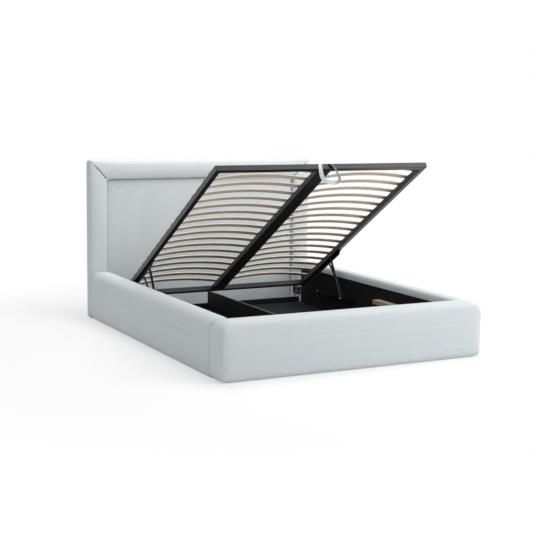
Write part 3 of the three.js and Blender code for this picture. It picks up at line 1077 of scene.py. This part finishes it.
class UpholsterHeadboard(Operator):
    """Pads the headboard's three mitred borders and its recessed panel"""

    bl_idname = "bed.upholster_headboard"
    bl_label = "Upholster the headboard"

    def execute(self, context):
        padding = context.scene.bed_padding
        left_low, left_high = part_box("headboard_left_border")
        top_low, top_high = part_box("headboard_top_border")
        near = HELD_STEPS * padding.border_step
        panel_left = left_high.x
        panel_top = top_low.z
        rise = (top_high.z - panel_top) / (left_high.x - left_low.x)

        def past_mitre(across, up):
            """How far a point is above the line of the corner joint, on either side of the bed."""
            reach = abs(across) - abs(panel_left)
            return (up - panel_top - rise * reach) / math.hypot(1, rise)

        def side_fixed(place):
            return (
                place.y > left_high.y - near
                or abs(place.x) < abs(panel_left) + 0.5 * near
                or past_mitre(place.x, place.z) > -near
                or place.z < near
            )

        def top_fixed(place):
            return (
                place.y > top_high.y - near
                or place.z < panel_top + 0.5 * near
                or past_mitre(place.x, place.z) < near
            )

        def upward(across):
            """The way at right angles to the corner joint, up into the top border."""
            return Vector((-math.copysign(rise, across), 0, 1)).normalized()

        def side_seam(place):
            return -past_mitre(place.x, place.z), upward(place.x)

        def top_seam(place):
            return past_mitre(place.x, place.z), -upward(place.x)

        for side, fixed, seam, open_sides in (
            ("left", side_fixed, side_seam, ((1, 1, 0), (0, 0, 0))),
            ("right", side_fixed, side_seam, ((0, 1, 0), (1, 0, 0))),
            ("top", top_fixed, top_seam, ((0, 1, 0), (0, 0, 1))),
        ):
            node = f"headboard_{side}_border"
            name = f"{side}_headboard_border"
            padded_piece(node, name, padding.border_step, fixed, open_sides, seam)

        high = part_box("headboard_panel")[1]
        edge = HELD_STEPS * padding.panel_step

        def panel_fixed(place):
            return (
                place.y > high.y - edge
                or abs(place.x) > high.x - edge
                or place.z > high.z - edge
                or place.z < edge
            )

        open_sides = ((0, 1, 0), (0, 0, 0))
        padded_piece("headboard_panel", "recessed_panel", padding.panel_step, panel_fixed, open_sides)
        return {"FINISHED"}


class UpholsterRails(Operator):
    """Pads both side rails"""

    bl_idname = "bed.upholster_rails"
    bl_label = "Upholster the side rails"

    def execute(self, context):
        step = context.scene.bed_padding.rail_step
        near = HELD_STEPS * step
        for side, sign in (("left", -1), ("right", 1)):
            node = f"{side}_side_rail"
            low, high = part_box(node)
            inner = min(abs(low.x), abs(high.x))

            def fixed(place, low=low, high=high, inner=inner):
                return (
                    abs(place.x) < inner + near
                    or place.z < near
                    or place.y < low.y + near
                    or place.y > high.y - near
                )

            outward = ((1, 0, 0), (0, 0, 1)) if sign < 0 else ((0, 0, 0), (1, 0, 1))
            padded_piece(node, f"{side}_rail_cover", step, fixed, outward)
        return {"FINISHED"}


class UpholsterFootboard(Operator):
    """Pads the footboard"""

    bl_idname = "bed.upholster_footboard"
    bl_label = "Upholster the footboard"

    def execute(self, context):
        step = context.scene.bed_padding.rail_step
        near = HELD_STEPS * step
        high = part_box("footboard")[1]

        def fixed(place):
            return place.y > high.y - near or place.z < near

        padded_piece("footboard", "footboard_cover", step, fixed, ((1, 1, 0), (1, 0, 1)))
        return {"FINISHED"}


# A slat's rounded edge, and the steps of its bow
SLAT_EDGE = 0.0022
SLAT_STEPS = 14
# A holder's extra width over the slat, its wall, rounded edge, sunk top and the mouth for the slat's end
HOLDER_MARGIN = 0.006
HOLDER_WALL = 0.0026
HOLDER_EDGE = 0.0016
HOLDER_SINK = 0.0012
MOUTH_DEPTH = 0.004
# Two places closer than this are the same
SAME_PLACE = 1e-5


def add_bowed_slat(shape, left, right, row):
    """Sweeps the slat's section round the arc that passes both its ends and its crown."""
    slats = bpy.context.scene.bed_slats
    half = (right - left) / 2
    radius = (half * half + slats.crown * slats.crown) / (2 * slats.crown)
    centre = Vector((left + half, row, slats.seat + slats.lift + slats.crown - radius))
    lean = math.asin(half / radius)
    section = bmesh.ops.create_grid(shape, x_segments=1, y_segments=1, size=0.5)["verts"]
    size = Matrix.Diagonal((slats.thickness, slats.width, 1, 1))
    upright = Matrix.Rotation(math.radians(90), 4, "Y")
    top = Matrix.Translation(centre + Vector((0, 0, radius + slats.thickness / 2)))
    leaned = Matrix.Translation(centre) @ Matrix.Rotation(-lean, 4, "Y") @ Matrix.Translation(-centre)
    bmesh.ops.transform(shape, matrix=leaned @ top @ upright @ size, verts=section)
    faces = list({face for vertex in section for face in vertex.link_faces})
    geometry = faces + list({edge for face in faces for edge in face.edges}) + section
    bmesh.ops.spin(shape, geom=geometry, cent=centre, axis=(0, 1, 0), angle=2 * lean, steps=SLAT_STEPS,
                   use_duplicate=False)


def sharp_edges(geometry, angle=1.0):
    return [edge for edge in geometry if len(edge.link_faces) == 2 and edge.calc_face_angle(0) > angle]


def add_holder(shape, left, right, row, mouths):
    """A moulded holder with rounded edges, an open mouth at each slat end and a sunk top."""
    slats = bpy.context.scene.bed_slats
    block = bmesh.ops.create_cube(shape, size=1)["verts"]
    size = Matrix.Diagonal((right - left, slats.width + HOLDER_MARGIN, slats.holder_height, 1))
    place = Matrix.Translation(((left + right) / 2, row, slats.seat + slats.holder_height / 2))
    bmesh.ops.transform(shape, matrix=place @ size, verts=block)
    faces = list({face for vertex in block for face in vertex.link_faces})
    top = max(faces, key=lambda face: face.calc_center_median().z)
    mouth_places = [right if mouth > 0 else left for mouth in mouths]
    ends = [face for face in faces
            if any(abs(face.calc_center_median().x - across) < SAME_PLACE for across in mouth_places)]
    edges = list({edge for face in faces for edge in face.edges})
    for face, sink in [(top, HOLDER_SINK)] + [(end, MOUTH_DEPTH) for end in ends]:
        bmesh.ops.inset_individual(shape, faces=[face], thickness=HOLDER_WALL, depth=0)
        bmesh.ops.translate(shape, verts=face.verts, vec=-sink * face.normal)
    edges = [edge for edge in edges if edge.is_valid]
    bmesh.ops.bevel(shape, geom=edges, offset=HOLDER_EDGE, segments=2, profile=0.5, affect="EDGES",
                    material=-1)


class LaySlats(Operator):
    """Lays the rows of bowed slats in their holders on the raised frame"""

    bl_idname = "bed.lay_slats"
    bl_label = "Lay the slats"

    def execute(self, context):
        slats = context.scene.bed_slats
        half = context.scene.bed_frame.width / 2
        inner = slats.centre_holder / 2
        end = half - slats.holder_inset
        outer = end - slats.holder_length
        wood = kept(laminated_slat)
        plastic = kept(slat_holder)
        raised = onto_raised_frame()
        for number in range(slats.rows):
            row = -(slats.first + number * slats.pitch)
            shape = bmesh.new()
            add_bowed_slat(shape, inner, outer, row)
            add_bowed_slat(shape, -outer, -inner, row)
            bmesh.ops.recalc_face_normals(shape, faces=shape.faces)
            bmesh.ops.bevel(shape, geom=sharp_edges(shape.edges), offset=SLAT_EDGE, segments=2, profile=0.5,
                            affect="EDGES", material=-1)
            timber = set(shape.faces)
            add_holder(shape, outer - MOUTH_DEPTH, end, row, (-1,))
            add_holder(shape, -end, -outer + MOUTH_DEPTH, row, (1,))
            add_holder(shape, -inner - MOUTH_DEPTH, inner + MOUTH_DEPTH, row, (-1, 1))
            for face in shape.faces:
                face.material_index = 0 if face in timber else 1
            bmesh.ops.recalc_face_normals(shape, faces=shape.faces)
            bmesh.ops.transform(shape, matrix=raised, verts=shape.verts)
            name = f"slats_{number + 1:02d}"
            piece = placed_piece(name, shape, (wood, plastic), "slat_frame", smooth=False)
            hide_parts(f"slat_row_{number + 1:02d}")
        return {"FINISHED"}


# Places along the strap's middle line, from the middle of the frame's foot end, with the way its width
# points there. The start and the end lie over the foot tube, in the level frame's own directions, and
# the loop between them hangs below it, in the room's.
STRAP_START = (
    ((-0.037, 0.019, 0.0362), (1, 0, 0)),
    ((-0.037, 0.006, 0.0364), (1, 0, 0)),
    ((-0.0375, 0.0005, 0.0358), (1, 0, 0)),
    ((-0.0385, -0.0022, 0.032), (1, 0, 0)),
    ((-0.041, -0.0024, 0.02), (1, 0, 0)),
    ((-0.0435, -0.0026, 0.008), (1, -0.05, 0)),
)
STRAP_LOOP = (
    ((-0.0435, -0.0035, -0.006), (1, -0.1, 0)),
    ((-0.0415, -0.004, -0.0185), (1, -0.2, 0.1)),
    ((-0.0375, -0.0045, -0.034), (1, -0.25, 0.2)),
    ((-0.032, -0.005, -0.049), (0.9, -0.3, 0.35)),
    ((-0.0235, -0.0055, -0.062), (0.75, -0.25, 0.6)),
    ((-0.009, -0.006, -0.0715), (0.5, -0.1, 0.85)),
    ((0.011, -0.007, -0.0775), (0.4, 0.1, 0.85)),
    ((0.031, -0.008, -0.082), (0.4, 0.3, 0.8)),
    ((0.052, -0.009, -0.085), (0.4, 0.37, 0.75)),
    ((0.0675, -0.0105, -0.084), (0.3, 0.55, 0.65)),
    ((0.079, -0.012, -0.079), (0.1, 0.8, 0.45)),
    ((0.0845, -0.013, -0.068), (-0.1, 0.95, 0.1)),
    ((0.083, -0.0135, -0.0545), (-0.1, 0.97, -0.15)),
    ((0.078, -0.0135, -0.042), (-0.02, 0.96, -0.28)),
    ((0.0705, -0.0135, -0.03), (0.06, 0.96, -0.3)),
    ((0.0625, -0.013, -0.0195), (0.16, 0.95, -0.26)),
)
STRAP_END = (
    ((0.051, -0.0115, -0.009), (0.3, 0.92, 0.16)),
    ((0.0455, -0.0115, 0.003), (0.4, 0.88, 0.12)),
    ((0.0395, -0.0105, 0.015), (0.5, 0.8, 0.05)),
    ((0.0345, -0.0075, 0.0255), (0.62, 0.72, 0.14)),
    ((0.0295, -0.001, 0.034), (0.8, 0.5, 0.2)),
    ((0.025, 0.0075, 0.0372), (1, 0.2, 0.03)),
    ((0.0225, 0.019, 0.0366), (1, 0.1, 0)),
)


class FitPullStrap(Operator):
    """Hangs the twisted webbing loop over the foot tube"""

    bl_idname = "bed.fit_pull_strap"
    bl_label = "Fit the pull strap"

    def execute(self, context):
        strap = context.scene.bed_strap
        raised = context.scene.bed_frame
        plumb = Matrix.Rotation(raised.tilt, 3, "X")
        stations = [(Vector(place), Vector(width)) for place, width in STRAP_START]
        stations += [(plumb @ Vector(place), plumb @ Vector(width)) for place, width in STRAP_LOOP]
        stations += [(Vector(place), Vector(width)) for place, width in STRAP_END]
        foot = Vector((0, -raised.length, 0))
        shape = bmesh.new()
        across = []
        edge = None
        for place, width in stations:
            reach = width.normalized() * strap.width / 2
            if edge is None:
                edge = shape.edges.new((shape.verts.new(), shape.verts.new()))
            else:
                swept = bmesh.ops.extrude_edge_only(shape, edges=[edge])["geom"]
                edge = next(item for item in swept if isinstance(item, bmesh.types.BMEdge))
            for vertex, side in zip(edge.verts, self.ordered(edge, reach)):
                vertex.co = foot + place + side
            across.append(edge)
        bmesh.ops.subdivide_edges(shape, edges=across, cuts=3, use_grid_fill=True)
        bmesh.ops.recalc_face_normals(shape, faces=shape.faces)
        webbing = shape.verts[:] + shape.edges[:] + shape.faces[:]
        bmesh.ops.solidify(shape, geom=webbing, thickness=strap.thickness)
        bmesh.ops.recalc_face_normals(shape, faces=shape.faces)
        bmesh.ops.transform(shape, matrix=onto_raised_frame(), verts=shape.verts)
        piece = placed_piece("webbing_strap", shape, (kept(ribbed_webbing),), "slat_frame")
        rounded = piece.modifiers.new("rounded", "SUBSURF")
        rounded.levels = 2
        rounded.render_levels = 2
        settle_modifiers(piece)
        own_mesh(piece)
        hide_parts("pull_strap")
        return {"FINISHED"}

    def ordered(self, edge, reach):
        """The reach to each end of the edge, so that the webbing keeps its two sides."""
        first, second = edge.verts
        if (first.co - second.co).dot(reach) >= 0:
            return reach, -reach
        return -reach, reach


# Sides of a bolt head, its rim's share of its height, and its rings as shares inward of its radius
# and upward of its height: the dome, the flat round the socket and the socket
HEAD_SIDES = 18
RIM_SHARE = 0.5
RING_SHARES = ((0.28, 0.5), (0.22, 0), (0.02, -0.6))


def add_bolt_head(shape, place, toward, radius, height):
    """A domed head with a round socket, standing off the face it is driven into."""
    head = bmesh.new()
    rim = RIM_SHARE * height
    bmesh.ops.create_cone(head, cap_ends=True, cap_tris=False, segments=HEAD_SIDES, radius1=radius,
                          radius2=radius, depth=rim)
    bmesh.ops.translate(head, verts=head.verts, vec=(0, 0, rim / 2))
    top = max(head.faces, key=lambda face: face.calc_center_median().z)
    for inward, up in RING_SHARES:
        bmesh.ops.inset_individual(head, faces=[top], thickness=inward * radius, depth=up * height)
    turn = Vector((0, 0, 1)).rotation_difference(Vector(toward)).to_matrix().to_4x4()
    bmesh.ops.transform(head, matrix=Matrix.Translation(place) @ turn, verts=head.verts)
    mesh = bpy.data.meshes.new("bolt_head")
    head.to_mesh(mesh)
    head.free()
    shape.from_mesh(mesh)
    bpy.data.meshes.remove(mesh)


# Bolts of a corner bracket, from its foot end and its lower edge
CORNER_BOLTS = ((0.029, 0.05), (0.065, 0.05), (0.027, 0.02), (0.069, 0.015), (0.057, 0.029))
# Screws of a lower bracket from its foot end, and bolts of an upper bracket from the frame's head end
LOWER_BRACKET_SCREWS = (0.03, 0.17, 0.3, 0.436)
UPPER_BRACKET_BOLTS = (0.3, 0.37, 0.585)


class FitFasteners(Operator):
    """Drives the bolts and screws of the brackets and the pivots"""

    bl_idname = "bed.fit_fasteners"
    bl_label = "Fit the fasteners"

    def execute(self, context):
        sizes = context.scene.bed_fasteners
        pivots = {joint["name"]: joint["pos_m"] for joint in frame["joints"] if "pos_m" in joint}
        raised = onto_raised_frame()
        for side, sign in (("left", -1), ("right", 1)):
            inward = (-sign, 0, 0)
            low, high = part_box(f"{side}_corner_bracket")
            face = max(abs(low.x), abs(high.x)) - sizes.corner_sheet
            shape = bmesh.new()
            for along, up in CORNER_BOLTS:
                place = Vector((sign * face, low.y + along, low.z + up))
                add_bolt_head(shape, place, inward, sizes.bolt_radius, sizes.bolt_height)
            for joint, plane in (("rear_link_swing", sizes.rear_head), ("strut_swing", sizes.front_head)):
                pivot = pivots[f"{side}_{joint}"]
                place = Vector((sign * plane, pivot[1], pivot[2]))
                add_bolt_head(shape, place, inward, sizes.bolt_radius, sizes.bolt_height)
            self.fit(shape, f"{side}_bolt_heads", bolt_zinc, "rod_steel", "base")

            low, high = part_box(f"{side}_lower_bracket")
            face = max(abs(low.x), abs(high.x)) - sizes.lower_sheet
            shape = bmesh.new()
            for along in LOWER_BRACKET_SCREWS:
                place = Vector((sign * face, low.y + along, low.z + sizes.screw_rise))
                add_bolt_head(shape, place, inward, sizes.screw_radius, sizes.screw_height)
            self.fit(shape, f"{side}_lower_bracket_screws", linkage_steel, "black_steel", "base")

            shape = bmesh.new()
            for along in UPPER_BRACKET_BOLTS:
                place = raised @ Vector((sign * sizes.flange_line, -along, -sizes.flange_sheet))
                down = raised.to_3x3() @ Vector((0, 0, -1))
                add_bolt_head(shape, place, down, sizes.screw_radius, sizes.screw_height)
            self.fit(shape, f"{side}_upper_bracket_bolts", linkage_steel, "black_steel", "slat_frame")
        return {"FINISHED"}

    def fit(self, shape, name, make, slot, body):
        bmesh.ops.recalc_face_normals(shape, faces=shape.faces)
        piece = placed_piece(name, shape, (kept(make),), body, smooth=False)


CARRIED_PARTS = {
    frame_steel: ("side_tube", "head_tube", "foot_tube", "centre_rail"),
    linkage_steel: (
        "upper_bracket", "lower_bracket", "corner_bracket", "rear_link", "front_arm", "strut_cylinder",
    ),
    ground_rod: ("strut_rod",),
    felt_lining: ("lining",),
    pearl_board: ("floor_board", "rear_ledge_board"),
    divider_board: ("centre_divider",),
    sawn_batten: ("batten",),
}


class FinishCarriedParts(Operator):
    """Gives the steel, board, lining and batten parts their finishes"""

    bl_idname = "bed.finish_carried_parts"
    bl_label = "Finish the carried parts"

    def execute(self, context):
        for make, endings in CARRIED_PARTS.items():
            finish = kept(make)
            for name, part in frame["nodes"].items():
                if name.endswith(endings):
                    if not part.material_slots:
                        part.data.materials.append(finish)
                    for slot in part.material_slots:
                        slot.material = finish
        return {"FINISHED"}


def seen_share(tree):
    """One where the camera, a reflection or glass looks, and zero where only light falls."""
    path = tree.nodes.new("ShaderNodeLightPath")
    seen = path.outputs["Is Camera Ray"]
    for kind in ("Is Glossy Ray", "Is Transmission Ray"):
        either = tree.nodes.new("ShaderNodeMath")
        either.operation = "MAXIMUM"
        tree.links.new(seen, either.inputs[0])
        tree.links.new(path.outputs[kind], either.inputs[1])
        seen = either.outputs[0]
    return seen


def studio_floor_finish(name):
    """Pale floor that keeps the bed's shadow and runs out to the white background."""
    studio = bpy.context.scene.bed_studio
    material, shader, place = start_finish(name, studio.floor, 0.9, Specular_IOR_Level=0.1)
    seen = seen_share(material.node_tree)
    shown = add_step(material, "ShaderNodeMix", data_type="RGBA")
    connect(material, seen, shown.inputs[0])
    shown.inputs[6].default_value = studio.floor_bounce
    shown.inputs[7].default_value = studio.floor
    connect(material, shown.outputs[2], shader.inputs["Base Color"])
    span = add_step(material, "ShaderNodeVectorMath", operation="LENGTH")
    connect(material, place, span.inputs[0])
    fade = add_step(material, "ShaderNodeMapRange", interpolation_type="SMOOTHSTEP")
    fade.inputs["From Min"].default_value = FLOOR_FADE_START
    fade.inputs["From Max"].default_value = FLOOR_FADE_END
    fade.inputs["To Min"].default_value = 0.5
    fade.inputs["To Max"].default_value = 1.0
    connect(material, span.outputs["Value"], fade.inputs["Value"])
    share = add_step(material, "ShaderNodeMath", operation="MULTIPLY")
    connect(material, seen, share.inputs[0])
    connect(material, fade.outputs["Result"], share.inputs[1])
    white = add_step(material, "ShaderNodeEmission", Strength=1.0)
    mix = add_step(material, "ShaderNodeMixShader")
    connect(material, share.outputs[0], mix.inputs[0])
    connect(material, shader.outputs[0], mix.inputs[1])
    connect(material, white.outputs[0], mix.inputs[2])
    connect(material, mix.outputs[0], material.node_tree.nodes["Material Output"].inputs["Surface"])
    return material


def add_lamp(name, place, target, size, power):
    lamp = bpy.data.lights.new(name, "AREA")
    lamp.shape = "DISK"
    lamp.size = size
    lamp.energy = power
    holder = bpy.data.objects.new(name, lamp)
    bpy.context.scene.collection.objects.link(holder)
    holder.location = place
    holder.rotation_euler = (Vector(target) - Vector(place)).to_track_quat("-Z", "Y").to_euler()
    return holder


class SetUpStudio(Operator):
    """Lays the floor, sets the lamps and aims the camera"""

    bl_idname = "bed.set_up_studio"
    bl_label = "Set up the studio"

    def execute(self, context):
        self.lay_floor(context)
        self.light(context)
        self.aim_camera(context)
        return {"FINISHED"}

    def lay_floor(self, context):
        shape = bmesh.new()
        bmesh.ops.create_grid(shape, x_segments=8, y_segments=8, size=FLOOR_SIZE / 2)
        bmesh.ops.translate(shape, verts=shape.verts, vec=(0, 0, -FLOOR_DROP))
        mesh = bpy.data.meshes.new("studio_floor")
        shape.to_mesh(mesh)
        shape.free()
        mesh.materials.append(kept(studio_floor_finish))
        floor = bpy.data.objects.new("studio_floor", mesh)
        context.scene.collection.objects.link(floor)

    def light(self, context):
        studio = context.scene.bed_studio
        world = bpy.data.worlds.new("soft_light")
        context.scene.world = world
        world.use_nodes = True
        tree = world.node_tree
        soft = tree.nodes["Background"]
        soft.inputs["Color"].default_value = (1, 1, 1, 1)
        soft.inputs["Strength"].default_value = studio.sky
        white = tree.nodes.new("ShaderNodeBackground")
        white.inputs["Color"].default_value = (1, 1, 1, 1)
        white.inputs["Strength"].default_value = 1
        mix = tree.nodes.new("ShaderNodeMixShader")
        tree.links.new(seen_share(tree), mix.inputs[0])
        tree.links.new(soft.outputs[0], mix.inputs[1])
        tree.links.new(white.outputs[0], mix.inputs[2])
        tree.links.new(mix.outputs[0], tree.nodes["World Output"].inputs["Surface"])
        add_lamp("key_lamp", studio.key_place, studio.key_aim, studio.key_size, studio.key)
        add_lamp("top_lamp", studio.top_place, studio.top_aim, studio.top_size, studio.top)

    def aim_camera(self, context):
        studio = context.scene.bed_studio
        turn, dip, roll = studio.camera_turn, studio.camera_dip, studio.camera_roll
        forward = Vector((math.sin(turn) * math.cos(dip), math.cos(turn) * math.cos(dip), -math.sin(dip)))
        level = Vector((math.cos(turn), -math.sin(turn), 0))
        down = forward.cross(level)
        right = math.cos(roll) * level + math.sin(roll) * down
        down = math.cos(roll) * down - math.sin(roll) * level
        camera = bpy.data.cameras.new("camera")
        camera.sensor_fit = "HORIZONTAL"
        camera.sensor_width = 36
        camera.lens = studio.lens
        camera.clip_end = 200
        eye = bpy.data.objects.new("camera", camera)
        context.scene.collection.objects.link(eye)
        facing = Matrix((right, -down, -forward)).transposed().to_4x4()
        eye.matrix_world = Matrix.Translation(studio.camera_place) @ facing
        context.scene.camera = eye
        context.scene.view_settings.view_transform = "Standard"


class StorageBedPanel(Panel):
    """Lists the bed's pieces, sizes and colours"""

    bl_idname = "VIEW3D_PT_storage_bed"
    bl_label = "Storage bed"
    bl_space_type = "VIEW_3D"
    bl_region_type = "UI"
    bl_category = "Storage bed"

    def draw(self, context):
        layout = self.layout
        for operator in OPERATORS:
            layout.operator(operator.bl_idname)
        for group in SETTINGS:
            box = layout.box()
            settings = getattr(context.scene, group)
            for name in settings.bl_rna.properties.keys():
                if name not in ("rna_type", "name"):
                    box.prop(settings, name)


SETTINGS = {
    "bed_fabric": BedFabric,
    "bed_padding": BedPadding,
    "bed_frame": BedFrame,
    "bed_slats": BedSlats,
    "bed_strap": BedStrap,
    "bed_fasteners": BedFasteners,
    "bed_finishes": BedFinishes,
    "bed_studio": BedStudio,
}

OPERATORS = (
    UpholsterHeadboard,
    UpholsterRails,
    UpholsterFootboard,
    LaySlats,
    FitPullStrap,
    FitFasteners,
    FinishCarriedParts,
    SetUpStudio,
)


def register():
    for settings in SETTINGS.values():
        bpy.utils.register_class(settings)
    for operator in OPERATORS:
        bpy.utils.register_class(operator)
    bpy.utils.register_class(StorageBedPanel)
    for name, settings in SETTINGS.items():
        setattr(bpy.types.Scene, name, PointerProperty(type=settings))


def unregister():
    for name in SETTINGS:
        delattr(bpy.types.Scene, name)
    bpy.utils.unregister_class(StorageBedPanel)
    for operator in reversed(OPERATORS):
        bpy.utils.unregister_class(operator)
    for settings in reversed(tuple(SETTINGS.values())):
        bpy.utils.unregister_class(settings)


def main():
    register()
    for operator in OPERATORS:
        group, name = operator.bl_idname.split(".")
        getattr(getattr(bpy.ops, group), name)()


if __name__ == "__main__":
    main()
